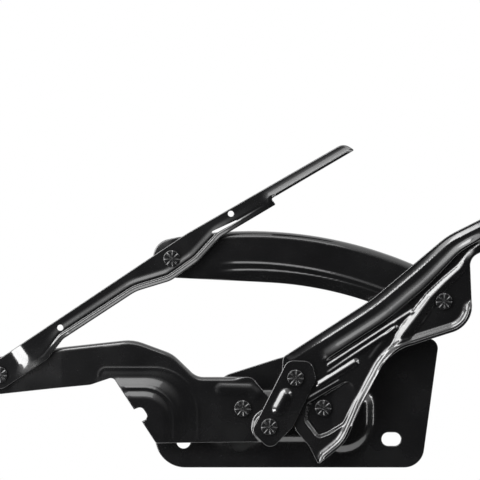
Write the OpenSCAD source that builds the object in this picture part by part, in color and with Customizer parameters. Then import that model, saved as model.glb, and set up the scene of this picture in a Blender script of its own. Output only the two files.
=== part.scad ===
// Seven-pivot car bonnet hinge: six pressed steel links, riveted so that they all turn together.
// The links are drawn face on, x to the right, y up and z towards the viewer, from the body panel.
// Each node is then stood up, so that the finished part has x to the right, z up and the body behind it.

/* [Sheet and rivets] */
// Thickness of the pressed sheet
sheet_t = 2.5; // [2:0.1:3]
// Gap between two riveted sheets, taken up by the flange of the bush
sheet_gap = 0.8; // [0.6:0.05:1.2]
// Radius of a rivet's shank
shank_r = 4; // [3.5:0.1:4.5]
// Radius of a rivet's formed heads
head_r = 6.6; // [6:0.1:7.5]
// Height of a rivet's formed heads
head_h = 2; // [1.5:0.1:2.4]
// Wall of a bush's sleeve
bush_wall = 1; // [0.8:0.1:1.5]
// Radius of a bush's flange
bush_flange_r = 8; // [7.2:0.1:9]

/* [Fits] */
// Radial clearance of a rivet that is held tight, and of a bush in its seat
seat_clear = 0.02; // [0.01:0.01:0.04]
// Radial running clearance of a bush on its rivet
run_clear = 0.05; // [0.03:0.01:0.09]
// Play between a turning sheet and the rivet's head, and behind a bush's flange
face_play = 0.1; // [0.05:0.01:0.15]
// Radial room for the bracket's bush in the curved link
bracket_room = 1.9; // [1.5:0.1:2.4]
// Radial room for the coupling link's bush in the main lever
coupling_room = 4.2; // [3.8:0.1:4.4]

/* [Pivots] */
// Pivot of the main lever on the base plate
lever_pivot = [47.4, 26.8]; // [0:0.1:150]
// Pivot of the lift arm on the base plate
arm_pivot = [111.9, 27.2]; // [0:0.1:150]
// Pivot of the coupling link on the main lever
low_pivot = [68.7, 12.3]; // [0:0.1:150]
// Pivot of the coupling link on the lift arm
high_pivot = [89.7, 51.4]; // [0:0.1:150]
// Pivot of the bonnet bracket at the end of the main lever
heel_pivot = [-147.5, 53.6]; // [-200:0.1:150]
// Pivot of the bonnet bracket on the curved link
bracket_pivot = [-9.4, 146.8]; // [-50:0.1:200]
// Pivot of the curved link on the lift arm
tip_pivot = [208.5, 112.6]; // [50:0.1:250]

/* [Base plate] */
// Radius of the round bolt hole, at the origin
bolt_r = 5.5; // [4.5:0.1:6.5]
// Place of the slotted bolt hole
slot_at = [166.5, 2]; // [0:0.1:200]
// Half width of the slotted hole
slot_r = 5.35; // [4.5:0.05:6]
// Length of the slotted hole, end to end
slot_l = 15.4; // [12:0.1:20]
// How far the raised middle stands off the rim
boss_rise = 5.5; // [4.5:0.1:7]
// Sideways run of the raised middle's sloped wall
boss_slope = 5; // [3:0.1:7]
// Width of the flat rim below the raised middle
boss_margin = 9.6; // [8:0.1:13]
// Distance from the round hole down to the lower edge
plate_drop = 20.8; // [15:0.1:26]
// Distance from the round hole out to the left edge
plate_left = 22.7; // [18:0.1:28]

/* [Main lever] */
// How much deeper the far end of the arm lies
heel_drop = 4; // [3:0.1:4.2]
// How far the pad at the lower left stands out
pad_rise = 6; // [4:0.1:8]
// Depth of the folded upper edge, measured from the front
lever_fold = 6; // [4:0.1:6.4]
// Wall left round the coupling link's hole
lobe_wall = 3; // [2:0.1:3.4]
// Sideways run of the raised lobe's sloped wall
lobe_slope = 4.5; // [3:0.1:5]
// Half width of the notch in the pad's edge
notch_r = 3.8; // [3:0.1:4.5]
// Where the far end's step starts, from its pivot
heel_step_at = 24; // [20:0.5:34]
// Run of the far end's step
heel_step_run = 20; // [10:0.5:22]
// Height of the rib above the pivot on the base plate
lever_rib_h = 1.6; // [1:0.1:2.2]
// Width of the rib above the pivot on the base plate
lever_rib_w = 12; // [8:0.5:13]

/* [Lift arm] */
// Height of the turned-up edge above the sheet
arm_lip = 4; // [2:0.1:6]
// Height of the long rib
arm_rib_h = 5; // [3:0.1:7]
// Width of the long rib
arm_rib_w = 18; // [12:0.5:19]
// Width of the small ribs
small_rib_w = 7; // [5:0.1:9]
// Height of the small ribs
small_rib_h = 2.5; // [1.5:0.1:3]
// Run of the sunk root's sloped wall
root_slope = 1.6; // [1:0.1:2]

/* [Coupling link] */
// Width of the rib
coupling_rib_w = 10; // [7:0.1:12]
// Height of the rib
coupling_rib_h = 2.2; // [1.5:0.1:3]
// Distance from each pivot to the rib's rounded end
rib_inset = 16; // [14:0.1:20]

/* [Curved link] */
// Radius of the link's outer edge
link_outer_r = 333.6; // [331:0.1:337]
// Width of the link, edge to edge
link_w = 40.8; // [38:0.1:44]
// Depth of the folded outer edge, measured from the front
link_fold = 8; // [5:0.1:9]
// Outside radius of the fold
fold_r = 4.5; // [3:0.1:5]
// Depth of the set-back lower strip
strip_step = 2; // [1:0.1:2.5]
// Width of the set-back strip
strip_w = 9.7; // [6:0.1:12]
// Run of the slope above the set-back strip
strip_slope = 5.5; // [3:0.1:6]
// Distance from the outer edge in to the pivots
pivot_depth = 15.8; // [13:0.1:18]
// Length of the link beyond its pivots
link_overhang = 13.5; // [12:0.1:18]
// Corner radius of the link's ends
link_end_r = 15; // [8:0.1:16]

/* [Bonnet bracket] */
// How far the band along the lower edge stands out
band_rise = 3; // [2:0.1:5]
// Width of the raised band along the lower edge
band_w = 4.5; // [3:0.1:6]
// Width of the flange that takes the bonnet
bonnet_flange_w = 30; // [24:0.5:40]
// Radius of the bonnet bolt holes
bonnet_bolt_r = 4.5; // [3.5:0.1:5.5]
// Distance between the bonnet bolt holes
bonnet_bolt_pitch = 40; // [30:0.5:46]
// Radius of the small locating holes
locate_r = 2.4; // [2:0.1:2.6]
// Half width of the slit
slit_r = 1.4; // [1:0.1:1.6]
// Where the heel's step starts, from its pivot
strap_step_at = 14; // [12:0.5:18]
// Run of the heel's step
strap_step_run = 15; // [10:0.5:18]

/* [Hidden] */
$fn = 64;

// Colours of the coated sheet, the rivets and the bushes
coat = [0.06, 0.06, 0.065];
rivet_coat = [0.1, 0.1, 0.105];
bronze = [0.45, 0.36, 0.24];

// Depth of each layer's back face: the lever, the sheets in front of it, and the coupling link
layer = sheet_t + sheet_gap;
boss_back = boss_rise;
lever_back = boss_back + layer;
front_back = lever_back + layer;
coupling_back = front_back + layer;
heel_back = lever_back - heel_drop;

// A bush's outer radius, and the round rooms that it needs
bush_r = shank_r + run_clear + bush_wall;
seat_r = bush_r + seat_clear;
held_r = shank_r + seat_clear;
bracket_room_r = bush_r + bracket_room;
coupling_room_r = bush_r + coupling_room;

// Small overlap of cutting and joining shapes, and a length beyond every edge
nip = 0.5;
far = 600;

// Stands a face-on drawing up, with its back towards +Y
module stand() rotate([90, 0, 0]) children();

// Unit vector, and the left-hand normal of a vector
function unit(v) = v / norm(v);
function left(v) = [-v[1], v[0]];
function flat(v) = [v[0], v[1]];
function wrap(list, i) = list[(i + len(list)) % len(list)];

// Points of the arc of radius r in the corner b, between the edges from a and to c
function corner(a, b, c, r) =
    let (u = unit(a - b), v = unit(c - b), half = acos(u * v) / 2)
    let (middle = b + unit(u + v) * r / sin(half), turn = 180 - 2 * half)
    let (from = b + u * r / tan(half) - middle, side = sign(u[0] * v[1] - u[1] * v[0]))
    let (steps = max(1, ceil(turn / 12)))
    [for (k = [0 : steps]) let (w = -side * turn * k / steps)
        middle + [from[0] * cos(w) - from[1] * sin(w), from[0] * sin(w) + from[1] * cos(w)]];

// Outline through corners [x, y, radius]
function rounded(corners) = [for (i = [0 : len(corners) - 1])
    each corner(flat(wrap(corners, i - 1)), flat(corners[i]), flat(wrap(corners, i + 1)), corners[i][2])];

// Corners moved by w to the right of the direction of travel, which is inwards on a clockwise outline
function inset(corners, w) = [for (i = [0 : len(corners) - 1])
    let (b = flat(corners[i]), u = unit(b - flat(wrap(corners, i - 1))))
    let (v = unit(flat(wrap(corners, i + 1)) - b))
    let (m = unit(left(u) + left(v)), turn = u[0] * v[1] - u[1] * v[0])
    let (p = b - m * w / (m * left(u)))
    [p[0], p[1], max(0.5, corners[i][2] + sign(turn) * w)]];

// A corner with its radius, and a plain point, placed from a pivot
function from(pivot, dx, dy, r) = [pivot[0] + dx, pivot[1] + dy, r];
function spot(pivot, dx, dy) = [pivot[0] + dx, pivot[1] + dy];

// Sheet of an outline, from a depth towards the viewer
module sheet(corners, back) translate([0, 0, back]) linear_extrude(sheet_t) polygon(rounded(corners));

// Strip of the sheet's thickness along an outline's inner side
module edge_strip(corners, back, height)
    translate([0, 0, back]) linear_extrude(height) difference() {
        polygon(rounded(corners));
        polygon(rounded(inset(corners, sheet_t)));
    }

// Presses the second child out of the first, towards the viewer, at the sheet's thickness
module pressed_out() difference() {
    union() {
        children(0);
        children(1);
    }
    translate([0, 0, -sheet_t]) children(1);
}

// Presses the second child, which is the hollow, into the first, away from the viewer
module pressed_in() difference() {
    union() {
        children(0);
        translate([0, 0, -sheet_t]) children(1);
    }
    children(1);
}

// Flat-topped raised field between two outlines, from a sheet's front
module raised_field(outer, inner, front, rise) hull() {
    translate([0, 0, front - nip]) linear_extrude(nip) polygon(rounded(outer));
    translate([0, 0, front + rise - nip / 10]) linear_extrude(nip / 10) polygon(rounded(inner));
}

// Round-backed rib on a sheet's front between two points, w wide and h high
module rib(a, b, w, h, front) {
    r = (w * w / 4 + h * h) / (2 * h);
    run = norm(b - a);
    reach = run + 2 * r;
    intersection() {
        translate([a[0], a[1], front + h - r])
            rotate([0, 90, atan2(b[1] - a[1], b[0] - a[0])])
                rotate_extrude() intersection() {
                    union() {
                        circle(r);
                        translate([0, run]) circle(r);
                        translate([-r, 0]) square([2 * r, run]);
                    }
                    translate([0, -r]) square([r, run + 2 * r]);
                }
        translate([a[0] - reach, a[1] - reach, front - nip]) cube([2 * reach, 2 * reach, 2 * h]);
    }
}

// Round hole through every layer
module bore(at, r) translate([at[0], at[1], -far / 2]) cylinder(h = far, r = r);

// Prism through every layer
module through(points) translate([0, 0, -far / 2]) linear_extrude(far) polygon(points);

// Slit with rounded ends between two points, of half width r
module slit_cut(a, b, r) {
    along = unit(b - a) * r;
    ends = [a - along, b + along];
    sides = [ends[0] + left(along), ends[1] + left(along), ends[1] - left(along), ends[0] - left(along)];
    through(rounded([for (p = sides) from(p, 0, 0, 0.8 * r)]));
}

// Sheet that steps along a direction, drawn as [run, depth of its back] and cut to an outline
module stepped_sheet(corners, at, angle, steps) intersection() {
    fronts = [for (i = [len(steps) - 1 : -1 : 0]) steps[i] + [0, sheet_t]];
    translate([at[0], at[1], 0]) rotate([0, 0, angle]) translate([0, far / 2, 0])
        rotate([90, 0, 0]) linear_extrude(far) polygon(concat(steps, fronts));
    through(rounded(corners));
}

// Rivet through two sheets, its shank upset into a domed head at both ends
module rivet(at, back, front_play, back_play) {
    front = back + layer + sheet_t + front_play;
    edge = head_h / 2;
    color(rivet_coat) stand() translate([at[0], at[1], 0]) rotate_extrude() polygon([
        [0, back - back_play - head_h],
        [head_r - edge, back - back_play - head_h],
        [head_r, back - back_play - edge],
        [head_r, back - back_play],
        [shank_r, back - back_play],
        [shank_r, front],
        [head_r, front],
        [head_r, front + edge],
        [head_r - edge, front + head_h],
        [0, front + head_h]
    ]);
}

// Flanged bush between two sheets, its sleeve in the front sheet or in the rear one
module bush(at, back, in_front) {
    flange_back = back + sheet_t + face_play;
    sleeve_back = in_front ? flange_back : back;
    sleeve_front = back + layer + (in_front ? sheet_t : 0);
    color(bronze) stand() translate([at[0], at[1], 0]) difference() {
        union() {
            translate([0, 0, flange_back]) cylinder(h = sheet_gap - face_play, r = bush_flange_r);
            translate([0, 0, sleeve_back]) cylinder(h = sleeve_front - sleeve_back, r = bush_r);
        }
        bore([0, 0], shank_r + run_clear);
    }
}

// Base plate, bolted flat to the body, its middle raised to make room for the rivets' tails
plate_corners = [
    [-plate_left, -plate_drop, 24],
    [-plate_left, 40 - plate_drop, 16],
    from(lever_pivot, -11.7, 27.2, 6),
    from(high_pivot, -10, 16.6, 60),
    from(slot_at, 36.4, 82, 8),
    [slot_at[0] + 22, -plate_drop, 16]
];
boss_corners = [
    [lever_pivot[0] - 28, boss_margin - plate_drop, 20],
    from(lever_pivot, -26, 15.2, 10),
    from(arm_pivot, 43, 14.8, 12),
    [arm_pivot[0] + 43, boss_margin - plate_drop, 28]
];
module base_plate() color(coat) stand() difference() {
    pressed_out() {
        sheet(plate_corners, 0);
        raised_field(boss_corners, inset(boss_corners, boss_slope), sheet_t, boss_rise);
    }
    bore([0, 0], bolt_r);
    for (side = [-1, 1]) bore(slot_at + [side * (slot_l / 2 - slot_r), 0], slot_r);
    translate([slot_at[0] - slot_l / 2 + slot_r, slot_at[1] - slot_r, -nip])
        cube([slot_l - 2 * slot_r, 2 * slot_r, sheet_t + 2 * nip]);
    bore(lever_pivot, held_r);
    bore(arm_pivot, held_r);
}

// Main lever: a long arm to the bracket's heel, a plate on the base and a raised lobe for the coupling link
lobe_r = coupling_room_r + lobe_wall;
lever_front = lever_back + sheet_t;
lever_corners = [
    from(heel_pivot, -13, 12.4, 12),
    from(heel_pivot, 52, 22.4, 40),
    from(lever_pivot, -91, 54.8, 34),
    from(lever_pivot, -38, 25.2, 30),
    from(lever_pivot, 7.6, 25.2, 8),
    from(lever_pivot, 20, 10, 6),
    from(low_pivot, lobe_r, lobe_r, lobe_r - nip),
    from(low_pivot, lobe_r, -lobe_r, lobe_r - nip),
    from(lever_pivot, -69.4, -27.7, 2.5),
    from(lever_pivot, -81.9, -6.8, 1),
    from(lever_pivot, -104.5, 26.5, 4),
    from(heel_pivot, 46, -10.2, 60),
    from(heel_pivot, -13, -15, 13)
];
pad_outer = [
    from(lever_pivot, -115, 32.2, 6),
    from(lever_pivot, -35.4, 32.2, 36),
    from(lever_pivot, -35.4, -60, 6),
    from(lever_pivot, -115, -60, 6)
];
pad_inner = [
    from(lever_pivot, -115, 16.2, 6),
    from(lever_pivot, -54.9, 16.2, 24),
    from(lever_pivot, -54.9, -60, 6),
    from(lever_pivot, -115, -60, 6)
];
module main_lever() color(coat) stand() difference() {
    union() {
        intersection() {
            pressed_out() {
                stepped_sheet(lever_corners, heel_pivot, 0, [
                    [-far, heel_back], [heel_step_at, heel_back],
                    [heel_step_at + heel_step_run, lever_back], [far, lever_back]
                ]);
                union() {
                    raised_field(pad_outer, pad_inner, lever_front, pad_rise);
                    translate([low_pivot[0], low_pivot[1], lever_front - nip])
                        cylinder(h = nip, r = lobe_r + lobe_slope);
                    translate([low_pivot[0], low_pivot[1], lever_front])
                        cylinder(h = layer, r1 = lobe_r + lobe_slope, r2 = lobe_r);
                    rib(
                        spot(lever_pivot, -17, 14.6), spot(lever_pivot, 6, 13.8),
                        lever_rib_w, lever_rib_h, lever_front
                    );
                }
            }
            through(rounded(lever_corners));
        }
        intersection() {
            edge_strip(lever_corners, lever_front - lever_fold, lever_fold);
            through([
                spot(heel_pivot, 60, 18), spot(lever_pivot, -40, 12), spot(lever_pivot, 2.6, 12),
                spot(lever_pivot, 2.6, 80), spot(heel_pivot, 60, 80)
            ]);
        }
    }
    slit_cut(spot(lever_pivot, -79.4, -4.2), spot(lever_pivot, -92, -12.4), notch_r);
    bore(heel_pivot, held_r);
    bore(lever_pivot, seat_r);
    bore(low_pivot, coupling_room_r);
}

// Lift arm: a deep pressing with ribs and a turned-up edge, its root sunk onto the base plate
arm_front = front_back + sheet_t;
arm_corners = [
    from(high_pivot, -10, 16.6, 4),
    from(high_pivot, 60.4, 62.2, 150),
    from(tip_pivot, 2.4, 52.2, 60),
    from(tip_pivot, 50.5, 76.4, 11),
    from(tip_pivot, 53.5, 51.4, 11),
    from(tip_pivot, 20.8, 34.6, 10),
    from(tip_pivot, 23, -19.6, 22),
    from(tip_pivot, -43.5, -40.6, 40),
    from(arm_pivot, 31, 2.4, 60),
    from(arm_pivot, 17.4, -28, 30),
    from(arm_pivot, -3.9, -45.2, 2),
    from(arm_pivot, -11.4, -30.4, 3),
    from(arm_pivot, -21.9, -18.2, 4),
    from(high_pivot, -11.7, -5.4, 12)
];
root_corners = [
    from(arm_pivot, -13, 3.5, 3),
    from(arm_pivot, 17.6, 20.6, 5),
    from(arm_pivot, 14.2, -2.4, 6),
    from(arm_pivot, -0.2, -17.6, 4),
    from(arm_pivot, -10.1, -4.8, 4)
];
module lift_arm() color(coat) stand() difference() {
    union() {
        pressed_in() {
            pressed_out() {
                sheet(arm_corners, front_back);
                union() {
                    rib(spot(high_pivot, 29, 20), spot(tip_pivot, 26, 50), arm_rib_w, arm_rib_h, arm_front);
                    rib(spot(tip_pivot, -36, -22), spot(tip_pivot, 20, 40), small_rib_w, small_rib_h, arm_front);
                    rib(
                        spot(arm_pivot, 1.6, 21.4), spot(arm_pivot, 25.4, 36.4),
                        small_rib_w, small_rib_h, arm_front
                    );
                }
            }
            hull() {
                translate([0, 0, arm_front]) linear_extrude(nip) polygon(rounded(root_corners));
                translate([0, 0, arm_front - layer])
                    linear_extrude(nip) polygon(rounded(inset(root_corners, root_slope)));
            }
        }
        intersection() {
            edge_strip(arm_corners, arm_front - nip, arm_lip + nip);
            through([
                spot(arm_pivot, -4, -42), spot(arm_pivot, 20, 4), spot(tip_pivot, -44, -30),
                spot(tip_pivot, 14, -8), spot(tip_pivot, 14, 28), spot(tip_pivot, 40, 28),
                spot(tip_pivot, 40, -60), spot(arm_pivot, 0, -60)
            ]);
        }
    }
    bore(arm_pivot, seat_r);
    bore(high_pivot, held_r);
    bore(tip_pivot, seat_r);
}

// Coupling link: a short flat link with a stiffening rib
coupling_front = coupling_back + sheet_t;
link_way = unit(high_pivot - low_pivot);
coupling_corners = [
    from(low_pivot, -14.2, -3.8, 6),
    from(high_pivot, -6.4, 14.2, 8),
    from(high_pivot, 13, 13.4, 8),
    from(high_pivot, 16.5, -0.9, 6),
    from(low_pivot, 18.8, -0.3, 8),
    from(low_pivot, 0.8, -18.8, 7)
];
module coupling_link() color(coat) stand() difference() {
    pressed_out() {
        sheet(coupling_corners, coupling_back);
        rib(
            low_pivot + link_way * rib_inset, high_pivot - link_way * rib_inset,
            coupling_rib_w, coupling_rib_h, coupling_front
        );
    }
    bore(low_pivot, held_r);
    bore(high_pivot, seat_r);
}

// Curved link: an arc through its two pivots, its outer edge folded back, its lower strip set back
chord = tip_pivot - bracket_pivot;
pivot_circle_r = link_outer_r - pivot_depth;
link_centre = (tip_pivot + bracket_pivot) / 2
    - left(unit(chord)) * sqrt(pivot_circle_r * pivot_circle_r - chord * chord / 4);
function bearing(p) = atan2(p[1] - link_centre[1], p[0] - link_centre[0]);
left_tip = bearing(bracket_pivot) + link_overhang / pivot_circle_r * 180 / PI;
right_tip = bearing(tip_pivot) - link_overhang / pivot_circle_r * 180 / PI;
function around(angle, radius, r) = from(link_centre + radius * [cos(angle), sin(angle)], 0, 0, r);
link_arc_steps = 6;
link_step = (right_tip - left_tip) / link_arc_steps;
function at_tip(i) = i == 0 || i == link_arc_steps;
link_corners = concat(
    [from(bracket_pivot, 70, -19, nip), from(bracket_pivot, -12.5, -14.8, link_end_r)],
    [for (i = [0 : link_arc_steps]) around(
        left_tip + i * link_step,
        (link_outer_r + nip) / (at_tip(i) ? 1 : cos(link_step / 2)),
        at_tip(i) ? link_end_r : nip
    )],
    [around(right_tip, link_outer_r - link_w - nip, link_end_r)]
);
strip_edge = link_outer_r - link_w;
strip_top = strip_edge + strip_w;
strip_foot = strip_top + strip_slope;
function fold_arc(r) = [for (w = [90 : -15 : 0])
    [link_outer_r - fold_r, lever_front - fold_r] + r * [cos(w), sin(w)]];
link_section = concat(
    [[strip_edge, lever_back - strip_step], [strip_edge, lever_front - strip_step]],
    [[strip_top, lever_front - strip_step], [strip_foot, lever_front]],
    fold_arc(fold_r),
    [[link_outer_r, lever_front - link_fold], [link_outer_r - sheet_t, lever_front - link_fold]],
    [for (p = [6 : -1 : 0]) fold_arc(fold_r - sheet_t)[p]],
    [[strip_foot, lever_back], [strip_top, lever_back - strip_step]]
);
module curved_link() color(coat) stand() difference() {
    intersection() {
        translate([link_centre[0], link_centre[1], 0]) rotate([0, 0, right_tip - 2])
            rotate_extrude(angle = left_tip - right_tip + 4, $fn = 360) polygon(link_section);
        through(rounded(link_corners));
    }
    bore(bracket_pivot, bracket_room_r);
    bore(tip_pivot, held_r);
}

// Bonnet bracket: a long strap with a turned-up edge, a stepped heel and the flange that takes the bonnet
heel_way = atan2(68, 100);
flange_foot = spot(bracket_pivot, 79.9, 47.7);
flange_tip = spot(bracket_pivot, 146.4, 86.7);
flange_way = unit(flange_tip - flange_foot);
strap_corners = [
    from(heel_pivot, -15.2, 2.8, 10.5),
    from(bracket_pivot, 9.9, 18.7, 200),
    from(bracket_pivot, 91.4, 65.7, 300),
    from(bracket_pivot, 137.4, 91.7, 4),
    from(flange_tip, -3, 3, 1),
    from(flange_tip + left(flange_way) * nip, 0, 0, 1),
    from(flange_foot + left(flange_way) * nip, 0, 0, 1),
    from(flange_foot, 3.5, -4.5, 1),
    from(bracket_pivot, 39.4, 17.2, 14),
    from(bracket_pivot, 21.4, -2.3, 24),
    from(bracket_pivot, -0.6, -17.8, 20),
    from(bracket_pivot, -28.6, -26.3, 30),
    from(heel_pivot, 51.5, 28.9, 8),
    from(heel_pivot, 38.5, 12.4, 8),
    from(heel_pivot, -3, -15.2, 10.5)
];
band_way = [-sin(heel_way), cos(heel_way)];
band_zone = [
    spot(heel_pivot, 47, 14), spot(heel_pivot, 47, 44), spot(bracket_pivot, -30, -8),
    spot(bracket_pivot, 0, -6), spot(bracket_pivot, 30, 20), flange_foot + [-4, 2],
    spot(flange_foot, -1, -14), spot(bracket_pivot, 30, -60)
];
// Strip of the bracket's lower edge, from one distance inside it to another
module lower_strip(first, last, back, height) intersection() {
    translate([0, 0, back]) linear_extrude(height) difference() {
        translate(band_way * first) polygon(rounded(strap_corners));
        translate(band_way * last) polygon(rounded(strap_corners));
    }
    through(band_zone);
}
module bonnet_bracket() color(coat) stand() difference() {
    union() {
        difference() {
            union() {
                stepped_sheet(strap_corners, heel_pivot, heel_way, [
                    [-far, front_back - heel_drop], [strap_step_at, front_back - heel_drop],
                    [strap_step_at + strap_step_run, front_back], [far, front_back]
                ]);
                lower_strip(0, band_w + sheet_t, front_back + nip, sheet_t + band_rise - nip);
            }
            lower_strip(-nip, band_w, front_back - nip, band_rise + nip);
        }
        translate([flange_foot[0], flange_foot[1], front_back])
            rotate([0, 0, atan2(flange_way[1], flange_way[0])])
                cube([norm(flange_tip - flange_foot), sheet_t, bonnet_flange_w]);
    }
    slit_cut(spot(bracket_pivot, 33.4, 20.7), spot(bracket_pivot, 55, 31.6), slit_r);
    bore(spot(heel_pivot, 49, 37.9), locate_r);
    bore(spot(bracket_pivot, 47.4, 35.8), locate_r);
    bore(heel_pivot, seat_r);
    bore(bracket_pivot, held_r);
    for (side = [-1, 1])
        let (at = (flange_foot + flange_tip) / 2 + flange_way * side * bonnet_bolt_pitch / 2)
            translate([at[0], at[1], front_back + sheet_t + (bonnet_flange_w - sheet_t) / 2])
                rotate([-90, 0, atan2(flange_way[1], flange_way[0])])
                    translate([0, 0, -2 * sheet_t]) cylinder(h = 5 * sheet_t, r = bonnet_bolt_r);
}

// Rivets that are tight in the rear sheet turn in the front one, and the other way about
module lever_rivet() rivet(lever_pivot, boss_back, face_play, 0);
module arm_rivet() rivet(arm_pivot, boss_back, face_play, 0);
module heel_rivet() rivet(heel_pivot, heel_back, face_play, 0);
module high_rivet() rivet(high_pivot, front_back, face_play, 0);
module tip_rivet() rivet(tip_pivot, lever_back, face_play, 0);
module low_rivet() rivet(low_pivot, front_back, 0, face_play);
module bracket_rivet() rivet(bracket_pivot, lever_back, 0, face_play);

// Bushes, seated in the sheet that turns on the rivet
module lever_bush() bush(lever_pivot, boss_back, true);
module arm_bush() bush(arm_pivot, boss_back, true);
module heel_bush() bush(heel_pivot, heel_back, true);
module high_bush() bush(high_pivot, front_back, true);
module tip_bush() bush(tip_pivot, lever_back, true);
module low_bush() bush(low_pivot, front_back, false);
module bracket_bush() bush(bracket_pivot, lever_back, false);

base_plate();
main_lever();
lift_arm();
coupling_link();
curved_link();
bonnet_bracket();
lever_rivet();
arm_rivet();
low_rivet();
high_rivet();
heel_rivet();
bracket_rivet();
tip_rivet();
lever_bush();
arm_bush();
low_bush();
high_bush();
heel_bush();
bracket_bush();
tip_bush();
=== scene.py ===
import math

import bmesh
import bpy
import numpy as np
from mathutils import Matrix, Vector
from mathutils.geometry import delaunay_2d_cdt


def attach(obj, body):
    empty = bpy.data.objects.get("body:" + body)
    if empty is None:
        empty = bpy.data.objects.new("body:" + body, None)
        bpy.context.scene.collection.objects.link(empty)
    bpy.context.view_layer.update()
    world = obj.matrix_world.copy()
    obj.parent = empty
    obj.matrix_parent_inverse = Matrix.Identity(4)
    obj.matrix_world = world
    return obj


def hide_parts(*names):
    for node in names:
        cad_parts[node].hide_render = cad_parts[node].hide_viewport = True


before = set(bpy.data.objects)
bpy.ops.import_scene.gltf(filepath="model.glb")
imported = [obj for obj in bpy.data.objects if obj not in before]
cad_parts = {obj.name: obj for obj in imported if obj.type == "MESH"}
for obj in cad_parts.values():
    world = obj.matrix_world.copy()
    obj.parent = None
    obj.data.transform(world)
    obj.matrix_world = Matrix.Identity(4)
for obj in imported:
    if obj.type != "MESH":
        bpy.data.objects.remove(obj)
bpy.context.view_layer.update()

# Base plate: deep-drawn steel sheet that bolts flat to the car body. Its middle is pressed out towards the
# viewer, so that the tails of two rivets clear the body, and it has a round bolt hole and a slotted one.
SHEET = 2.5  # all sheets are drawn face on in millimetres, x right, y up and z towards the viewer
BEND = 3.4  # radius outside a turned edge
EDGE = 0.7  # rounding that the coat leaves on a cut edge
CORNER = 0.29 * EDGE  # how far the middle of that rounding lies in from the sharp corner
RIM = 0.8  # ring of mesh round a hole
LEAST_LIP = 2.0  # a turned edge runs out to nothing from here down
PAST_BEND = 1.2  # straight part of the smallest fold
ROW = 0.866  # rows of an even three-sided mesh, as a share of its pitch
BASE_LEVEL = 0.0


def unit(v):
    return v / np.linalg.norm(v, axis=-1, keepdims=True)


def left(v):
    return np.stack([-v[..., 1], v[..., 0]], -1)


def trace(corners, inset=0.0, step=2.0):
    """Points clockwise round an outline of (x, y, radius) corners moved in by inset, as many at any inset."""
    at = np.array([c[:2] for c in corners], float)
    into = unit(at - np.roll(at, 1, 0))
    out = np.roll(into, -1, 0)
    turn = np.arctan2(into[:, 0] * out[:, 1] - into[:, 1] * out[:, 0], (into * out).sum(1))
    mitre = unit(left(into) + left(out))
    mitre /= (mitre * left(into)).sum(1, keepdims=True)

    def ends(move):
        r = np.maximum(0.3, np.array([c[2] for c in corners]) + np.sign(turn) * move)
        reach = (r * np.tan(np.abs(turn) / 2))[:, None]
        place = at - mitre * move
        return r, place - into * reach, place + out * reach

    _, first, last = ends(0.0)
    spans = np.maximum(1, np.ceil(np.linalg.norm(np.roll(first, -1, 0) - last, axis=1) / step)).astype(int)
    radius, first, last = ends(inset)
    points = []
    for i, angle in enumerate(turn):
        centre = first[i] + left(into[i]) * np.sign(angle) * radius[i]
        n = max(3, int(math.ceil(abs(math.degrees(angle)) / 7)))
        for k in range(n + 1):
            w = angle * k / n
            arm = first[i] - centre
            points.append(centre + [
                arm[0] * math.cos(w) - arm[1] * math.sin(w),
                arm[0] * math.sin(w) + arm[1] * math.cos(w),
            ])
        following = first[(i + 1) % len(corners)]
        points += [last[i] + (following - last[i]) * k / spans[i] for k in range(1, spans[i])]
    return np.array(points)


def to_path(points, path, closed=False):
    """Distance of each point to a path, and how far along the path its nearest place lies, from 0 to 1."""
    path = np.array(path, float)
    if closed:
        path = np.vstack([path, path[:1]])
    legs = np.linalg.norm(np.diff(path, axis=0), axis=1)
    before = np.concatenate([[0], np.cumsum(legs)])
    best, along = np.full(len(points), 1e9), np.zeros(len(points))
    for a, b, leg, start in zip(path[:-1], path[1:], legs, before):
        share = np.clip(((points - a) @ (b - a)) / max(leg * leg, 1e-9), 0, 1)
        d = np.linalg.norm(points - a - share[:, None] * (b - a), axis=1)
        nearer = d < best
        best[nearer] = d[nearer]
        along[nearer] = ((start + share * leg) / before[-1])[nearer]
    return best, along


def inside(points, loop):
    x, y = points[:, 0], points[:, 1]
    held = np.zeros(len(points), bool)
    for a, b in zip(loop, np.roll(loop, -1, 0)):
        if a[1] != b[1]:
            held ^= ((a[1] > y) != (b[1] > y)) & (x < a[0] + (y - a[1]) / (b[1] - a[1]) * (b[0] - a[0]))
    return held


def depth_in(points, loop):
    """Distance of each point in from a closed loop, negative outside it."""
    return to_path(points, loop, True)[0] * np.where(inside(points, loop), 1, -1)


def press(distance, run):
    """Height from 0 to 1 of a pressed wall, with a soft foot and shoulder."""
    share = np.clip(distance / run, 0, 1)
    return share * share * (3 - 2 * share)


def round_hole(at, r, count=40):
    turns = np.linspace(0, -2 * math.pi, count, endpoint=False)
    ring = np.stack([np.cos(turns), np.sin(turns)], 1)
    return np.array(at) + r * ring, np.array(at) + (r + RIM) * ring


def slot_hole(corners):
    return trace(corners, 0.0, 1.0), trace(corners, -RIM, 1.0)


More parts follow.
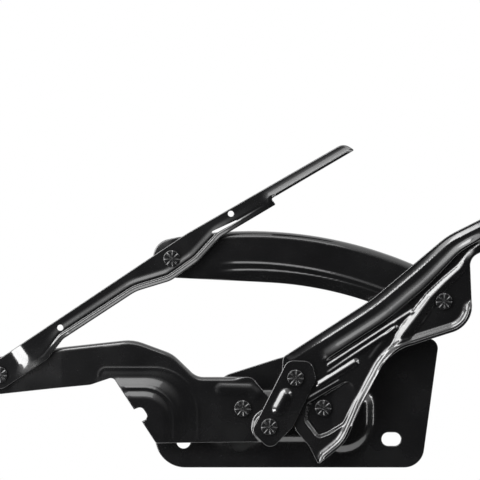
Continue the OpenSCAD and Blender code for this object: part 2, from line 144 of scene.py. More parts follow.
def edge_section(lip, fold, r):
    """Section of the sheet's edge, from its front round to its back, as (distance in, height) for each point.
    A lip turns up towards the viewer by its height, and a fold turns back to its depth, with r outside the
    bend."""
    s, e, c = SHEET, EDGE, CORNER
    inner, least_fold = r - s, r + PAST_BEND
    plain = np.array([
        (r, s), (2.3, s), (1.2, s), (e, s), (0.6 * e, s - 0.08 * e), (c, s - c), (0.08 * e, s - 0.6 * e),
        (0, s - e), (0, s / 2), (0, e), (0.08 * e, 0.6 * e), (c, c), (0.6 * e, 0.08 * e), (e, 0), (r, 0),
    ])
    quarter = np.radians([0, 30, 60, 90])
    wide = np.radians([0, 22.5, 45, 67.5, 90])
    sections = np.repeat(plain[None], len(lip), 0)
    for i in np.nonzero(lip > 0.01)[0]:
        top = s + max(lip[i], LEAST_LIP)
        turned = [(r - inner * math.sin(a), r - inner * math.cos(a)) for a in quarter]
        turned += [(s, top - e), (s - c, top - c), (s - e, top), (e, top), (c, top - c), (0, top - e)]
        turned += [(r - r * math.cos(a), r - r * math.sin(a)) for a in wide]
        sections[i] += min(1, lip[i] / LEAST_LIP) * (np.array(turned) - plain)
    for i in np.nonzero(fold > 0.01)[0]:
        low = s - max(fold[i], least_fold)
        turned = [(r - r * math.sin(a), s - r + r * math.cos(a)) for a in wide]
        turned += [(0, low + e), (c, low + c), (e, low), (s - e, low), (s - c, low + c), (s, low + e)]
        turned += [(r - inner * math.cos(a), s - r + inner * math.sin(a)) for a in quarter]
        sections[i] += min(1, fold[i] / least_fold) * (np.array(turned) - plain)
    return sections


def run_of(wall, start, stop, size, ramp):
    """A lip's height or a fold's depth along the wall, clockwise from start to stop, with soft ends."""
    legs = np.linalg.norm(np.roll(wall, -1, 0) - wall, axis=1)
    along = np.concatenate([[0], np.cumsum(legs)[:-1]])
    first, last = (along[np.argmin(np.linalg.norm(wall - np.array(p), axis=1))] for p in (start, stop))
    length = (last - first) % legs.sum()
    gone = (along - first) % legs.sum()
    return np.where(gone <= length, size * press(gone, ramp) * press(length - gone, ramp), 0)


def stood(points):
    """Face-on millimetres to the frame's metres."""
    points = np.asarray(points, float)
    return np.stack([points[:, 0], -points[:, 2], points[:, 1]], 1) / 1000


def mesh_piece(name, points, faces, finish):
    mesh = bpy.data.meshes.new(name)
    mesh.from_pydata(stood(points).tolist(), [], faces)
    work = bmesh.new()
    work.from_mesh(mesh)
    bmesh.ops.remove_doubles(work, verts=work.verts, dist=1e-6)
    bmesh.ops.recalc_face_normals(work, faces=work.faces)
    work.to_mesh(mesh)
    work.free()
    mesh.shade_smooth()
    mesh.materials.append(finish)
    piece = bpy.data.objects.new(name, mesh)
    bpy.context.collection.objects.link(piece)
    return piece


def pressing(name, corners, height, finish, holes=(), lips=(), folds=(), bend=BEND, pitch=1.7):
    """A pressed sheet: an outline, its edge turned where lips and folds say, and a height for each place."""
    wall, seam = trace(corners), trace(corners, bend)
    lip = sum((run_of(wall, *run) for run in lips), np.zeros(len(wall)))
    fold = sum((run_of(wall, *run) for run in folds), np.zeros(len(wall)))
    low, high = seam.min(0), seam.max(0)
    rows = np.arange(low[1], high[1], pitch * ROW)
    grid = np.array([
        (x + (pitch / 2 if k % 2 else 0), y)
        for k, y in enumerate(rows) for x in np.arange(low[0], high[0], pitch)
    ])
    grid = grid[depth_in(grid, seam) > 0.55 * pitch]
    for _, rim in holes:
        grid = grid[depth_in(grid, rim) < -0.45 * pitch]
    loops = [seam] + [rim for _, rim in holes]
    flat, edges = np.vstack(loops + [grid]), []
    starts = np.concatenate([[0], np.cumsum([len(loop) for loop in loops])]).astype(int)
    for start, loop in zip(starts, loops):
        edges += [(int(start + i), int(start + (i + 1) % len(loop))) for i in range(len(loop))]
    verts, _, tris, origin, _, _ = delaunay_2d_cdt([Vector(p) for p in flat.tolist()], edges, [], 0, 1e-6)
    place = {i: k for k, group in enumerate(origin) for i in group}
    flat = np.array([tuple(v) for v in verts])
    tris = np.array(tris)
    middle = flat[tris].mean(1)
    kept = inside(middle, seam)
    for _, rim in holes:
        kept &= ~inside(middle, rim)
    tris = tris[kept]
    level = height(flat)
    count = len(flat)
    points = [np.column_stack([flat, level + SHEET]), np.column_stack([flat, level])]
    faces = tris.tolist() + (tris[:, ::-1] + count).tolist()

    def skirt(loop_start, section_points, section_heights):
        n, m = section_heights.shape
        base = sum(len(p) for p in points)
        points.append(np.column_stack([section_points.reshape(-1, 2), section_heights.reshape(-1)]))
        for i in range(n):
            j = (i + 1) % n
            near, far = (
                [place[loop_start + k]] + [base + k * m + q for q in range(1, m - 1)]
                + [count + place[loop_start + k]] for k in (i, j)
            )
            for q in range(m - 1):
                faces.append([near[q], far[q], far[q + 1], near[q + 1]])

    section = edge_section(lip, fold, bend)
    across = wall[:, None] + (seam - wall)[:, None] * section[:, :, :1] / bend
    foot = height(across.reshape(-1, 2)).reshape(section.shape[:2])
    skirt(0, across, foot + section[:, :, 1])
    bore = np.array([
        (RIM, SHEET), (EDGE, SHEET), (CORNER, SHEET - CORNER), (0, SHEET - EDGE),
        (0, EDGE), (CORNER, CORNER), (EDGE, 0), (RIM, 0),
    ])
    for start, (hole, rim) in zip(starts[1:], holes):
        across = hole[:, None] + (rim - hole)[:, None] * bore[None, :, :1] / RIM
        foot = height(across.reshape(-1, 2)).reshape(len(hole), len(bore))
        skirt(int(start), across, foot + bore[None, :, 1])
    piece = mesh_piece(name, np.vstack(points), faces, finish)
    even = piece.modifiers.new("even_gloss", "WEIGHTED_NORMAL")
    even.keep_sharp = True
    return piece


def linear(code):
    """sRGB hex to linear RGBA."""
    values = [int(code[i:i + 2], 16) / 255 for i in (1, 3, 5)]
    return tuple(v / 12.92 if v <= 0.04045 else ((v + 0.055) / 1.055) ** 2.4 for v in values) + (1.0,)


def add_node(tree, kind, inputs=None, **settings):
    made = tree.nodes.new(kind)
    for name, value in settings.items():
        setattr(made, name, value)
    for name, value in (inputs or {}).items():
        if isinstance(value, bpy.types.NodeSocket):
            tree.links.new(value, made.inputs[name])
        else:
            made.inputs[name].default_value = value
    return made


# Cathodic dip coat on deep-drawn steel: a thin gloss black film that flows out smooth. It shows sharp bright
# lines on bends and soft bands on wide curves, a slight orange peel, and dull patches where it ran thinner.
COAT = "#0d0d0e"
COAT_THIN = "#141415"
ORANGE_PEEL_MM = 2.2
RUN_MM = 30.0
dip_coat = bpy.data.materials.new("black_dip_coat_on_steel")
dip_coat.use_nodes = True
tree = dip_coat.node_tree
shader = tree.nodes["Principled BSDF"]
place = add_node(tree, "ShaderNodeTexCoord")
runs = add_node(tree, "ShaderNodeTexNoise", {
    "Vector": place.outputs["Object"], "Scale": 1000 / RUN_MM, "Detail": 4.0,
})
tint = add_node(tree, "ShaderNodeMix", {
    0: runs.outputs["Fac"], 6: linear(COAT), 7: linear(COAT_THIN),
}, data_type="RGBA")
tree.links.new(tint.outputs[2], shader.inputs["Base Color"])
gloss = add_node(tree, "ShaderNodeMapRange", {
    "Value": runs.outputs["Fac"], "From Min": 0.3, "From Max": 0.7, "To Min": 0.2, "To Max": 0.3,
})
tree.links.new(gloss.outputs["Result"], shader.inputs["Roughness"])
peel = add_node(tree, "ShaderNodeTexNoise", {
    "Vector": place.outputs["Object"], "Scale": 1000 / ORANGE_PEEL_MM, "Detail": 1.0,
})
skin = add_node(tree, "ShaderNodeBump", {"Height": peel.outputs["Fac"], "Strength": 0.03, "Distance": 0.0004})
tree.links.new(skin.outputs["Normal"], shader.inputs["Normal"])
shader.inputs["IOR"].default_value = 1.6
shader.inputs["Coat Weight"].default_value = 1.0
shader.inputs["Coat IOR"].default_value = 1.6
shader.inputs["Coat Roughness"].default_value = 0.06

BOLT_HOLE, BOLT_HOLE_R = (0, 0), 5.5
SLOT, SLOT_HALF_L, SLOT_HALF_W, SLOT_END_R = (166.5, 2.0), 7.7, 5.35, 5.3
LEVER_PIVOT, ARM_PIVOT = (47.4, 26.8), (111.9, 27.2)
RIVET_HOLE, BUSH_HOLE = 4.02, 5.07  # radius in the sheet that grips the rivet, and in the one that turns
BOSS_LEDGE, BOSS_WALL = 1.0, 4.5  # the boss rises by a low ledge and then by its wall
BOSS_LEVEL = BASE_LEVEL + BOSS_LEDGE + BOSS_WALL
plate_corners = [
    (-22.7, -20.8, 24), (-22.7, 19.2, 16), (35.7, 54.0, 6), (79.7, 68.0, 60), (205.3, 84.0, 8),
    (190.9, -20.8, 16),
]
boss_foot = trace([(19.4, -11.2, 20), (21.4, 42.0, 10), (154.9, 42.0, 12), (154.9, -11.2, 28)])
slot_corners = [
    (SLOT[0] + x * SLOT_HALF_L, SLOT[1] + y * SLOT_HALF_W, SLOT_END_R)
    for x, y in ((-1, -1), (-1, 1), (1, 1), (1, -1))
]


def plate_height(p):
    wall_run = np.interp(p[:, 0], (30, 65, 128), (22, 11, 11))
    deep = depth_in(p, boss_foot)
    ledge = 8 * (1 - press(p[:, 1], 14)) * np.interp(p[:, 0], (45, 65, 108, 124), (0, 1, 1, 0))
    return BASE_LEVEL + BOSS_LEDGE * press(deep, 10) + BOSS_WALL * press(deep - ledge, wall_run)


base_plate = pressing(
    "base_plate_sheet", plate_corners, plate_height, dip_coat,
    holes=[
        round_hole(BOLT_HOLE, BOLT_HOLE_R), slot_hole(slot_corners),
        round_hole(LEVER_PIVOT, RIVET_HOLE), round_hole(ARM_PIVOT, RIVET_HOLE),
    ],
    pitch=2.0,
)
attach(base_plate, "base")
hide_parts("base_plate")

# Main lever: the long pressing from the base to the bracket's heel, of the same coated steel. Its upper edge
# is folded back, its lower left corner is a raised pad with a locating notch, and a raised lobe carries the
# coupling link's pivot. It turns on a bush on the base plate's left rivet.
LEVER_LEVEL = 8.8
LAYER = 3.3  # one sheet and the gap that a bush keeps
HEEL_PIVOT, LOW_PIVOT, HIGH_PIVOT = (-147.5, 53.6), (68.7, 12.3), (89.7, 51.4)
LOW_OPEN_HOLE = 9.25  # the coupling link's pivot runs free in this hole
HEEL_STEP, HEEL_FLAT, HEEL_RUN = 4.0, 10, 40  # the heel is set back, flat about its rivet, then ramps up
PAD_FOOT, PAD_WALL, PAD_TOP = 0.8, 2.7, 2.0  # the pad rises by a gentle foot, a wall and a second wall
PAD_FOOT_SHARE = 0.35  # share of the first wall's run that the foot takes
LOBE_R, LOBE_RUN = 11.6, 2.6
lever_corners = [
    (-160.5, 66.0, 12), (-95.5, 76.0, 40), (-40.0, 82.0, 34), (-8.5, 70.4, 26), (10.5, 52.0, 14),
    (55.0, 52.0, 8), (67.4, 36.8, 6), (80.95, 24.55, 11.7), (80.95, 0.05, 11.7), (-22.0, -0.9, 2.5),
    (-56.4, 51.8, 4), (-74.5, 45.6, 14), (-103.8, 42.8, 60), (-160.5, 36.6, 13),
]
pad_foot = trace([(-67.6, 59.0, 6), (12.0, 59.0, 36), (12.0, -33.2, 6), (-67.6, -33.2, 6)])
pad_top = trace([(-67.6, 43.0, 6), (-7.5, 43.0, 24), (-7.5, -33.2, 6), (-67.6, -33.2, 6)])


def rib(points, path, width, height):
    """Height of a round-backed rib along a path."""
    share = np.clip(to_path(points, path)[0] / (width / 2), 0, 1)
    return height * (1 - share ** 2) ** 1.5


def fin(points, path, widths, slope=0.54):
    """Height of a ridge with straight flanks along a path, as wide as the widths spaced evenly along it."""
    off, along = to_path(points, path)
    half = np.interp(along, np.linspace(0, 1, len(widths)), widths) / 2
    share = np.clip(off / half, 0, 1)
    return slope * half * (1.15 - np.sqrt(share ** 2 + 0.0225)) * (1 - press(share - 0.85, 0.15))


def lever_height(p):
    level = LEVER_LEVEL - HEEL_STEP * (1 - np.clip((p[:, 0] - HEEL_PIVOT[0] - HEEL_FLAT) / HEEL_RUN, 0, 1))
    down, up = depth_in(p, pad_foot), depth_in(p, pad_top)
    wall = np.where(up > 0, 1, np.clip(down / np.maximum(down - np.minimum(up, 0), 1e-6), 0, 1))
    level = level + PAD_FOOT * np.clip(wall / PAD_FOOT_SHARE, 0, 1)
    level = level + PAD_WALL * press(wall - PAD_FOOT_SHARE, 1 - PAD_FOOT_SHARE) + PAD_TOP * press(up, 9.0)
    from_lobe = np.linalg.norm(p - LOW_PIVOT, axis=1)
    level = level + LAYER * (1 - press(from_lobe - LOBE_R, LOBE_RUN))
    for line in (pad_foot, pad_top):
        level = level + fin(p, line, [3.0], 0.3)
    return level + rib(p, [(30.4, 42.2), (53.0, 41.6), (58.0, 38.0)], 12, 1.1)


def cut_out(piece, cutter):
    """Cuts a closed mesh out of a piece and keeps the piece's finish."""
    cut = piece.modifiers.new("cut", "BOOLEAN")
    cut.object = cutter
    cut.solver = "EXACT"
    cut.use_hole_tolerant = True
    bpy.context.view_layer.objects.active = piece
    while piece.modifiers[0] != cut:
        bpy.ops.object.modifier_move_up(modifier=cut.name)
    bpy.ops.object.modifier_apply(modifier=cut.name)
    bpy.data.objects.remove(cutter)


THROUGH_ALL = 40  # a cut reaches from the body to in front of every sheet


def punch(name, loop, finish):
    """A closed mesh with the outline of a cut."""
    n = len(loop)
    points = np.vstack([np.column_stack([loop, np.full(n, z)]) for z in (0, THROUGH_ALL)])
    faces = [list(range(n)), list(range(n, 2 * n))]
    faces += [[i, (i + 1) % n, n + (i + 1) % n, n + i] for i in range(n)]
    return mesh_piece(name, points, faces, finish)


main_lever = pressing(
    "main_lever_sheet", lever_corners, lever_height, dip_coat,
    holes=[
        round_hole(HEEL_PIVOT, RIVET_HOLE), round_hole(LEVER_PIVOT, BUSH_HOLE),
        round_hole(LOW_PIVOT, LOW_OPEN_HOLE),
    ],
    folds=[((-118.0, 72.4), (50.0, 52.0), 6.0, 14.0)], pitch=1.0,
)
notch = trace([(-38.0, 14.0, 0.5), (-51.0, 22.0, 0.5), (-33.3, 28.4, 3.7), (-27.4, 19.6, 3.7)], 0.0, 1.0)
cut_out(main_lever, punch("notch_cut", notch, dip_coat))
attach(main_lever, "lever")
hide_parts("main_lever")

# Lift arm: the deepest pressing. Its upper edge steps up to a swollen back with crease lines under it, a ridge
# curves from the root to the end, and its lower right edge is turned up towards the viewer. Its root is sunk
# one layer, so that it lies on the base plate's boss and turns on a bush there.
FRONT_LEVEL = 12.1
TIP_PIVOT = (208.5, 112.6)
EDGE_STEP, BACK_SWELL, BACK_WIDTH = 0.8, 2.1, 19.8
LIP_START, LIP_STOP, LIP_HEIGHT, LIP_BEND, LIP_FOOT = (231.0, 114.0), (108.0, -18.0), 3.0, 5.0, 1.2
ROOT_FLAT, ROOT_RAMP = 7, 19  # the sunk root is flat about its rivet, then ramps up to the right
arm_corners = [
    (79.7, 68.0, 4), (150.1, 113.6, 150), (210.9, 164.8, 60), (258.9, 188.9, 11), (261.9, 164.0, 11),
    (229.3, 147.2, 10), (231.5, 93.0, 22), (165.0, 72.0, 40), (142.9, 29.6, 60), (129.3, -0.8, 30),
    (108.0, -18.0, 2), (100.5, -3.2, 3), (90.0, 9.0, 4), (78.0, 46.0, 12),
]
root_rim = trace([
    (98.9, 30.7, 3), (133.0, 51.0, 5), (140.0, 38.0, 8), (129.0, 14.0, 10), (116.0, 6.0, 6), (107.5, 3.0, 4),
    (97.0, 17.0, 4),
])
ridge = [
    (137.0, 14.0), (144.5, 33.0), (153.0, 47.5), (164.0, 61.5), (170.0, 74.0), (176.0, 85.5), (188.0, 101.0),
    (198.5, 115.5), (210.5, 128.0), (222.0, 138.5), (230.0, 149.0), (237.0, 157.0),
]
ridge_widths = [7, 8, 8, 8, 10, 13, 13, 11, 9, 8, 7]
creases = [
    ([(116.4, 61.4), (149.8, 83.2), (182.8, 104.4)], [3.8]),
    ([(116.0, 55.6), (131.6, 66.2), (169.6, 91.0)], [2.6, 4.6, 5.2]),
]
small_rib, soft_rib = [(109.0, 45.8), (137.3, 63.6)], [(150.5, 67.0), (170.0, 93.5)]
root_bead = [(97.5, 33.0), (124.0, 48.5)]
arm_wall = trace(arm_corners)


def part_of(wall, start, stop):
    """The points of a wall, clockwise from start to stop."""
    return wall[run_of(wall, start, stop, 1.0, 0.01) > 0]


upper_edge = part_of(arm_wall, (84.0, 70.8), (254.0, 186.4))
lip_edge = part_of(arm_wall, LIP_START, LIP_STOP)


def arm_height(p):
    off, along = to_path(p, upper_edge)
    off = off * (1 + 0.42 * press(along - 0.55, 0.4))  # the back narrows towards the arm's end
    body, back = press(along - 0.05, 0.12), 1 - press(off - BACK_WIDTH, 2.8)
    step = (0.7 + EDGE_STEP * body) * press(off - 4.2, 1.7 + 0.7 * body)
    level = FRONT_LEVEL + step * (body * back + (1 - body) * (1 - press(off - 7, 14)))
    swell = press(off - 10.5, 9.5) * back * press(along - 0.08, 0.04) * press(0.96 - along, 0.12)
    level = level + BACK_SWELL * swell
    for line, widths in creases + [(ridge, ridge_widths), (small_rib, [6, 7])]:
        level = level + fin(p, line, widths)
    level = level + rib(p, soft_rib, 6.0, 0.6)
    off, along = to_path(p, lip_edge)
    foot = np.clip(1 - (off - LIP_BEND) / 2.6, 0, 1) * press(along, 0.03) * press(1 - along, 0.03)
    level = level + LIP_FOOT * foot + fin(p, root_bead, [3.2], 0.44)
    ramp = np.clip((p[:, 0] - ARM_PIVOT[0] - ROOT_FLAT) / ROOT_RAMP, 0, 1)
    return level - LAYER * press(depth_in(p, root_rim), 1.6) * (1 - ramp)


lift_arm = pressing(
    "lift_arm_sheet", arm_corners, arm_height, dip_coat,
    holes=[
        round_hole(ARM_PIVOT, BUSH_HOLE), round_hole(HIGH_PIVOT, RIVET_HOLE), round_hole(TIP_PIVOT, BUSH_HOLE),
    ],
    lips=[(LIP_START, LIP_STOP, LIP_HEIGHT, 6.0)], bend=LIP_BEND, pitch=1.0,
)
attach(lift_arm, "arm")
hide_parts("lift_arm")

# Coupling link: a short flat link with a stiffening rib, on top of the stack, that ties the lever to the lift
# arm. It is blanked from sheet, so its edges stay square and catch a thin bright line.
COUPLING_LEVEL = 15.4
OVAL_RIB, OVAL_RIB_W, OVAL_RIB_H = [(76.3, 26.4), (82.1, 37.3)], 12, 2.2
coupling_corners = [
    (54.5, 8.5, 6), (83.3, 65.6, 8), (102.7, 64.8, 8), (106.2, 50.5, 6), (87.5, 12.0, 8), (69.5, -6.5, 7),
]
coupling_link = pressing(
    "coupling_link_sheet", coupling_corners,
    lambda p: COUPLING_LEVEL + rib(p, OVAL_RIB, OVAL_RIB_W, OVAL_RIB_H), dip_coat,
    holes=[round_hole(LOW_PIVOT, RIVET_HOLE), round_hole(HIGH_PIVOT, BUSH_HOLE)], pitch=1.2,
)
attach(coupling_link, "coupling")
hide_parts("coupling_link")

# Curved link: one arc of sheet behind the bracket and the lift arm, riveted to both. Its outer edge is folded
# back from behind the bracket on, its end there is domed, and two beads run along it above a lower strip that a
# shallow step sets back.
BRACKET_PIVOT = (-9.4, 146.8)
BRACKET_OPEN_HOLE = 6.95  # the bracket's pivot runs free in this hole
LINK_R, LINK_W, LINK_PIVOT_R, LINK_END_R = 333.6, 40.8, 317.8, 15.0
LINK_PAST_PIVOT = 13.5
LINK_FOLD, LINK_FOLD_RAMP, LINK_FOLD_START = 8.0, 10.0, (-4.0, 165.5)
STRIP_STEP, BEAD_H, BEAD_HALF_W = 2.0, 0.68, 2.4
chord = np.array(TIP_PIVOT) - BRACKET_PIVOT
link_rise = math.sqrt(LINK_PIVOT_R ** 2 - chord @ chord / 4)
link_centre = (np.array(TIP_PIVOT) + BRACKET_PIVOT) / 2 - left(unit(chord)) * link_rise
tips = []
for pivot, beyond in ((BRACKET_PIVOT, LINK_PAST_PIVOT), (TIP_PIVOT, -LINK_PAST_PIVOT)):
    way = np.array(pivot) - link_centre
    tips.append(math.atan2(way[1], way[0]) + beyond / LINK_PIVOT_R)


def link_at(angle, radius, corner):
    return tuple(link_centre + radius * np.array([math.cos(angle), math.sin(angle)])) + (corner,)


steps = np.linspace(tips[0], tips[1], 13)
flare = 1 / math.cos((steps[1] - steps[0]) / 2)
link_corners = [(-21.9, 132.0, LINK_END_R), link_at(steps[0], LINK_R, LINK_END_R)]
link_corners += [
    link_at(a, LINK_R * flare, 120.0 if a in steps[[1, -2]] else LINK_R * 0.9) for a in steps[1:-1]
]
link_corners += [link_at(steps[-1], LINK_R, LINK_END_R), link_at(steps[-1], LINK_R - LINK_W, LINK_END_R)]
lower_edge = [link_at(a, LINK_R - LINK_W, LINK_R * 0.8) for a in steps[-2:0:-1]]
link_corners += [corner for corner in lower_edge if corner[0] > 60]  # the end behind the bracket tapers


def link_height(p):
    up = np.linalg.norm(p - link_centre, axis=1) - LINK_R + LINK_W
    level = LEVER_LEVEL - STRIP_STEP * (1 - press(up - 1.0, 5.0))
    for bead in (np.interp(p[:, 0], (40, 150), (14.4, 12.2)), 8.4):
        share = np.clip((up - bead) / BEAD_HALF_W, -1, 1)
        level = level + BEAD_H * (1 - share ** 2) ** 1.5 * press(p[:, 0] - 24, 20)
    from_pivot = np.clip(np.linalg.norm(p - BRACKET_PIVOT, axis=1) - 7.5, 0, 12)
    return level - 0.018 * from_pivot ** 2 * press(-6 - p[:, 0], 8)  # the dome of the end


curved_link = pressing(
    "curved_link_sheet", link_corners, link_height, dip_coat,
    holes=[round_hole(BRACKET_PIVOT, BRACKET_OPEN_HOLE), round_hole(TIP_PIVOT, RIVET_HOLE)],
    folds=[(LINK_FOLD_START, link_at(steps[-1], LINK_R - 8, 0)[:2], LINK_FOLD, LINK_FOLD_RAMP)],
    bend=5.2, pitch=1.2,
)
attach(curved_link, "link")
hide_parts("curved_link")

# Bonnet bracket: a long strap whose heel is stepped back to the lever, with a grooved band pressed out along
# its lower edge. At its far end a wide flange, bent forward and seen edge on, takes the bonnet. A slit and two
# small holes locate it in the jig.
FLANGE_FOOT, FLANGE_TIP = (70.5, 194.5), (137.0, 233.5)
FLANGE_HEIGHT, FLANGE_BEND, FLANGE_FILLET, FLANGE_FILLET_RUN = 25.98, 2.6, 1.5, 8
LOCATING_HOLES, LOCATING_HOLE_R = ((-98.5, 91.5), (38.0, 182.6)), 2.4
SLIT_START = np.array((24.0, 167.5))
strap_corners = [
    (-162.7, 56.4, 10.5), (0.5, 165.5, 200), (82.0, 212.5, 300), (128.2, 239.0, 9), (*FLANGE_TIP, 1),
    (*FLANGE_FOOT, 1), (74.0, 190.0, 1), (30.0, 164.0, 14), (12.0, 144.5, 24), (-10.0, 129.0, 20),
    (-38.0, 120.5, 30), (-96.0, 82.5, 8), (-109.0, 66.0, 8), (-150.5, 38.4, 10.5),
]
heel_way = unit(np.array((100.0, 68.0)))
band_edge = part_of(trace(strap_corners), (73.0, 189.4), (-143.0, 43.0))
BAND_ALONG, BAND_SHARE = (0, 0.1, 0.2, 0.74, 0.82, 0.86, 0.9), (0, 0.3, 1, 1, 0.16, 0.16, 0)


def strap_height(p):
    off, along = to_path(p, band_edge)
    spread = 1 - press(off - 1.5, 9.0)  # the heel's step is drawn out longer towards the lower edge
    from_heel = (p - HEEL_PIVOT) @ heel_way
    level = FRONT_LEVEL - HEEL_STEP * (1 - press(from_heel - 16 + 8 * spread, 14.0 + 16 * spread))
    band = 1.2 * (1 - press(off - 5.4, 6.0)) - 0.8 * press(6.2 - off, 1.2)  # its flank, then the groove
    band = band + 1.8 * press(5.2 - off, 1.7) + 0.8 * press(3.5 - off, 3.5)  # its ridge, then the edge
    level = level + band * np.interp(along, BAND_ALONG, BAND_SHARE)
    from_flange = to_path(p, [FLANGE_FOOT, FLANGE_TIP])[0] - FLANGE_BEND
    return level + FLANGE_FILLET * np.clip(1 - from_flange / FLANGE_FILLET_RUN, 0, 1) ** 2


bonnet_bracket = pressing(
    "bonnet_bracket_sheet", strap_corners, strap_height, dip_coat,
    holes=[round_hole(HEEL_PIVOT, BUSH_HOLE), round_hole(BRACKET_PIVOT, RIVET_HOLE)],
    lips=[((136.0, 233.0), (71.5, 195.1), FLANGE_HEIGHT, 0.6)], bend=FLANGE_BEND, pitch=0.65,
)
for spot in LOCATING_HOLES:
    cut_out(bonnet_bracket, punch("locating_cut", round_hole(spot, LOCATING_HOLE_R, 24)[0], dip_coat))
slit_way = unit(np.array((21.6, 10.9)))
slit = np.array([
    SLIT_START + slit_way * a + left(slit_way) * b
    for a, b in ((-1, 0.8), (0, 1.4), (21, 0.6), (21, -0.6), (0, -1.4), (-1, -0.8))
])
cut_out(bonnet_bracket, punch("slit_cut", slit, dip_coat))
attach(bonnet_bracket, "bracket")
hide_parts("bonnet_bracket")

# Rivets: steel shanks upset into a head on both sides of two sheets. The tool that forms the front head leaves
# a star of radial dents in it, which breaks its gloss into small bright wedges.
HEAD_R, HEAD_H, SHANK_R = 6.6, 2.0, 4.0
STAR_DENTS, DENT_DEPTH, DENT_HALF, EYE_DEPTH = 8, 0.5, 0.5, 0.25


def rivet(name, at, back, front_play, back_play):
    """A rivet turned about its axis, from its front's middle to its tail's, then dented in front."""
    front = back + LAYER + SHEET + front_play
    top, tail, half = front + HEAD_H, back - back_play, HEAD_H / 2
    rows = [(0.01, top)] + [(HEAD_R * k / 12, top) for k in range(1, 11)]
    rows += [(HEAD_R - 0.25, top - 0.05), (HEAD_R - 0.08, top - 0.2), (HEAD_R, front + half)]
    front_rows = len(rows)
    rows += [(HEAD_R, front), (SHANK_R, front), (SHANK_R, tail), (HEAD_R, tail), (HEAD_R, tail - half)]
    rows += [(HEAD_R - 0.3, tail - half - 0.6), (HEAD_R - half, tail - HEAD_H), (0.01, tail - HEAD_H)]
    turns = np.linspace(0, 2 * math.pi, 96, endpoint=False)
    from_dent = np.abs((turns * STAR_DENTS / (2 * math.pi) + 0.5) % 1 - 0.5) * 2
    dents = np.clip(1 - from_dent / DENT_HALF, 0, 1)
    points = []
    for k, (r, z) in enumerate(rows):
        level = np.full(len(turns), z)
        if k < front_rows:
            level = level - DENT_DEPTH * press(r - 0.4, 1.4) * dents - EYE_DEPTH * press(1.4 - r, 1.4)
        points.append(np.column_stack([at[0] + r * np.cos(turns), at[1] + r * np.sin(turns), level]))
    n = len(turns)
    faces = [[k * n + i, k * n + (i + 1) % n, (k + 1) * n + (i + 1) % n, (k + 1) * n + i]
             for k in range(len(rows) - 1) for i in range(n)]
    faces += [list(range(n)), list(range((len(rows) - 1) * n, len(rows) * n))]
    return mesh_piece(name, np.vstack(points), faces, rivet_coat)


# Dip coat over the formed steel of a rivet: the same black film, thinner and duller on the worked metal.
RIVET_COAT = "#151516"
DRAW_MM = 3.0
rivet_coat = bpy.data.materials.new("black_dip_coat_on_formed_rivet")
rivet_coat.use_nodes = True
tree = rivet_coat.node_tree
shader = tree.nodes["Principled BSDF"]
place = add_node(tree, "ShaderNodeTexCoord")
drawn = add_node(tree, "ShaderNodeTexNoise", {
    "Vector": place.outputs["Object"], "Scale": 1000 / DRAW_MM, "Detail": 3.0,
})
worked = add_node(tree, "ShaderNodeMapRange", {"Value": drawn.outputs["Fac"], "To Min": 0.2, "To Max": 0.34})
tree.links.new(worked.outputs["Result"], shader.inputs["Roughness"])
grain = add_node(tree, "ShaderNodeBump", {
    "Height": drawn.outputs["Fac"], "Strength": 0.15, "Distance": 0.0004,
})
tree.links.new(grain.outputs["Normal"], shader.inputs["Normal"])
shader.inputs["Base Color"].default_value = linear(RIVET_COAT)
shader.inputs["IOR"].default_value = 1.7

HEEL_LEVEL = LEVER_LEVEL - HEEL_STEP
PLAY = 0.1  # gap at the sheet that turns
for name, body, at, back, front_play, back_play in (
    ("lever_rivet", "base", LEVER_PIVOT, BOSS_LEVEL, PLAY, 0),
    ("arm_rivet", "base", ARM_PIVOT, BOSS_LEVEL, PLAY, 0),
    ("heel_rivet", "lever", HEEL_PIVOT, HEEL_LEVEL, PLAY, 0),
    ("high_rivet", "arm", HIGH_PIVOT, FRONT_LEVEL, PLAY, 0),
    ("tip_rivet", "link", TIP_PIVOT, LEVER_LEVEL, PLAY, 0),
    ("low_rivet", "coupling", LOW_PIVOT, FRONT_LEVEL, 0, PLAY),
    ("bracket_rivet", "bracket", BRACKET_PIVOT, LEVER_LEVEL, 0, PLAY),
):
    formed = rivet(name + "_formed", at, back, front_play, back_play)
    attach(formed, body)
    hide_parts(name)

# Bushes: sintered bronze sleeves with a flange that keeps two sheets apart, pressed into the sheet that turns.
# Sintering leaves the bronze matt, warm and finely pored, with oil that darkens the pores.
BRONZE, BRONZE_PORE = "#7a6545", "#4f4029"
PORE_MM = 0.5
sintered_bronze = bpy.data.materials.new("sintered_bronze")
sintered_bronze.use_nodes = True
tree = sintered_bronze.node_tree
shader = tree.nodes["Principled BSDF"]
place = add_node(tree, "ShaderNodeTexCoord")
pores = add_node(tree, "ShaderNodeTexNoise", {
    "Vector": place.outputs["Object"], "Scale": 1000 / PORE_MM, "Detail": 2.0,
})
oiled = add_node(tree, "ShaderNodeValToRGB", {"Fac": pores.outputs["Fac"]})
oiled.color_ramp.elements[0].color = linear(BRONZE_PORE)
oiled.color_ramp.elements[1].color = linear(BRONZE)
tree.links.new(oiled.outputs["Color"], shader.inputs["Base Color"])
shader.inputs["Metallic"].default_value = 1.0
shader.inputs["Roughness"].default_value = 0.5
for name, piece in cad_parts.items():
    if name.endswith("_bush"):
        piece.data.materials.clear()
        piece.data.materials.append(sintered_bronze)

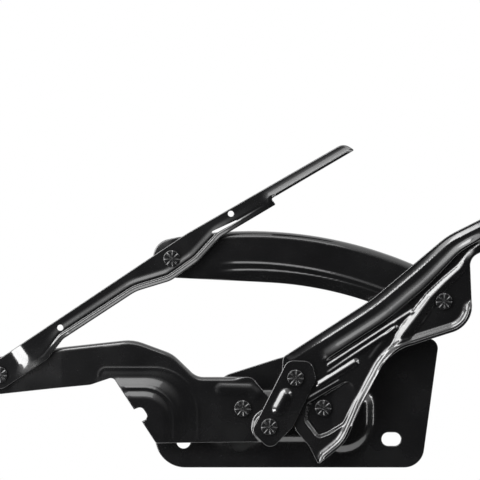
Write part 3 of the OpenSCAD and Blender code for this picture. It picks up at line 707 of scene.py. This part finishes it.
# Studio: a pale floor under the hinge, a white backdrop behind it and a light tent that is open and dark about
# the lens. Soft boxes above, in front, at both sides and at the lower left are mirrored in the bends.
FLOOR_Z, FLOOR_FRONT, FLOOR_REACH = -0.25, -0.15, 2
floor_corners = [
    (-FLOOR_REACH, FLOOR_FRONT, FLOOR_Z), (FLOOR_REACH, FLOOR_FRONT, FLOOR_Z),
    (FLOOR_REACH, FLOOR_REACH, FLOOR_Z), (-FLOOR_REACH, FLOOR_REACH, FLOOR_Z),
]
floor_mesh = bpy.data.meshes.new("floor")
floor_mesh.from_pydata(floor_corners, [], [[0, 1, 2, 3]])
floor = bpy.data.objects.new("floor", floor_mesh)
bpy.context.collection.objects.link(floor)
# White paper: matt, so it takes a soft shadow and mirrors nothing.
PAPER = "#e8e8e8"
paper = bpy.data.materials.new("white_paper")
paper.use_nodes = True
shader = paper.node_tree.nodes["Principled BSDF"]
shader.inputs["Base Color"].default_value = linear(PAPER)
shader.inputs["Roughness"].default_value = 0.9
floor_mesh.materials.append(paper)

world = bpy.data.worlds.new("light_tent")
bpy.context.scene.world = world
world.use_nodes = True
tree = world.node_tree
tent = tree.nodes["Background"]
facing = add_node(tree, "ShaderNodeTexCoord")
LIT_SIDE = (-0.25, 0.55, 0.8)
side = add_node(tree, "ShaderNodeVectorMath", {
    0: facing.outputs["Generated"], 1: LIT_SIDE,
}, operation="DOT_PRODUCT")
opening = add_node(tree, "ShaderNodeMapRange", {
    "Value": side.outputs["Value"], "From Min": -0.45, "From Max": 0.35, "To Min": 0.02, "To Max": 0.9,
}, interpolation_type="SMOOTHSTEP")
seen = add_node(tree, "ShaderNodeLightPath")
across = add_node(tree, "ShaderNodeSeparateXYZ", {"Vector": facing.outputs["Generated"]})
behind = add_node(tree, "ShaderNodeMapRange", {
    "Value": across.outputs["Y"], "From Min": 0.0, "From Max": 0.2,
})
mirrored = add_node(tree, "ShaderNodeMath", {
    0: seen.outputs["Is Glossy Ray"], 1: seen.outputs["Is Transmission Ray"],
})
backdrop = add_node(tree, "ShaderNodeMath", {
    0: mirrored.outputs["Value"], 1: behind.outputs["Result"], 2: seen.outputs["Is Camera Ray"],
}, operation="MULTIPLY_ADD", use_clamp=True)
lit = add_node(tree, "ShaderNodeMath", {
    0: opening.outputs["Result"], 1: backdrop.outputs["Value"],
}, operation="MAXIMUM")
tree.links.new(lit.outputs["Value"], tent.inputs["Strength"])
tent.inputs["Color"].default_value = linear("#ffffff")


def soft_box(name, at, size, power, aim=(0.05, 0.0, 0.1)):
    lamp = bpy.data.lights.new(name, "AREA")
    lamp.shape = "RECTANGLE"
    lamp.size, lamp.size_y = size
    lamp.energy = power
    holder = bpy.data.objects.new(name, lamp)
    holder.location = at
    holder.rotation_euler = (Vector(aim) - Vector(at)).to_track_quat("-Z", "Y").to_euler()
    bpy.context.collection.objects.link(holder)


soft_box("top_box", (-0.62, -0.85, 1.05), (1.0, 0.32), 8, (-0.62, 0.0, 0.1))
soft_box("front_box", (-0.25, -1.25, 0.95), (1.2, 0.35), 2.6)
soft_box("corner_box", (-0.78, -0.85, 0.62), (0.42, 0.42), 4.0)
soft_box("left_box", (-0.95, -0.35, 0.35), (0.7, 0.9), 8)
soft_box("right_box", (1.1, -0.6, 0.2), (0.1, 0.7), 1.0)
soft_box("right_corner_box", (0.95, -0.78, 0.66), (0.3, 0.3), 2.2)
soft_box("lower_left_box", (-0.42, -0.394, -0.103), (0.2, 0.2), 1.4, (-0.165, 0.0, 0.07))

# Camera: square on to the hinge through a long lens, framed as the photograph is, 384 mm across.
FIELD, AWAY, SENSOR_MM = 0.384, 6.0, 36.0
FIELD_MIDDLE = (0.0453, -0.014, 0.1616)
lens = bpy.data.cameras.new("camera")
lens.sensor_width = SENSOR_MM
lens.lens = SENSOR_MM * AWAY / FIELD
camera = bpy.data.objects.new("camera", lens)
camera.location = (FIELD_MIDDLE[0], FIELD_MIDDLE[1] - AWAY, FIELD_MIDDLE[2])
camera.rotation_euler = (math.pi / 2, 0, 0)
bpy.context.collection.objects.link(camera)
bpy.context.scene.camera = camera
bpy.context.scene.view_settings.view_transform = "Standard"
